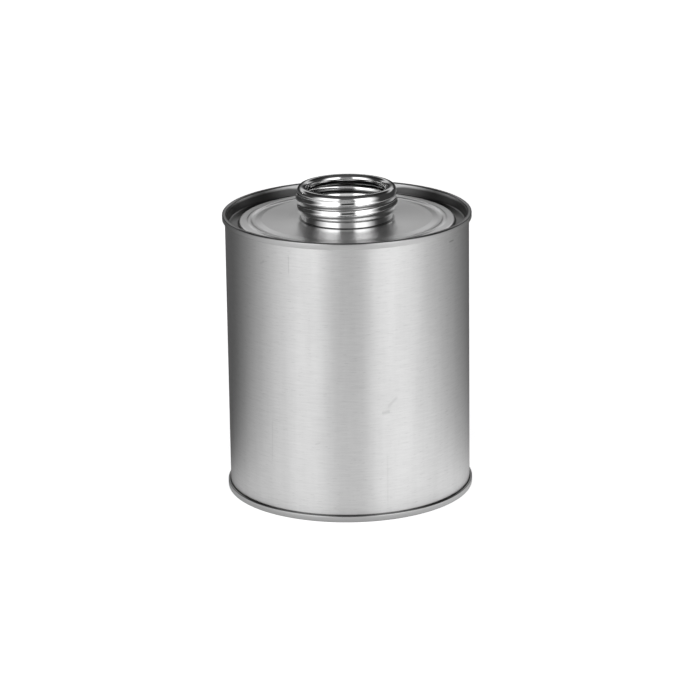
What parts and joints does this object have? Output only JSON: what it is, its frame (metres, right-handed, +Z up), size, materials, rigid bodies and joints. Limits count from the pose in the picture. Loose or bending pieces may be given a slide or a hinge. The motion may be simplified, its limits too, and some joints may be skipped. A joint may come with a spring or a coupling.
{
  "type": "screw-neck tinplate can",
  "caption": "Round tinplate can with double-seamed ends, a recessed stepped top and a short open screw neck with a rolled external thread and curled lip.",
  "frame": {"origin": "centre of the base seam's ring, in the plane that the can stands on", "axes": "+Z up along the can's axis towards the neck; -Y is the front; the side weld is at +Y"},
  "size_m": [0.108, 0.108, 0.1354],
  "materials": {
    "body_tinplate": "satin tinplate with fine grain round the can",
    "end_tinplate": "bright tinplate",
    "neck_tinplate": "mirror-bright tinplate",
    "compound": "matt dried sealing compound"
  },
  "bodies": {
    "root": {"body_shell": "body_tinplate", "top_end": "end_tinplate", "base_end": "end_tinplate", "screw_neck": "neck_tinplate", "top_seam_compound": "compound", "base_seam_compound": "compound", "neck_compound": "compound"}
  },
  "joints": []
}
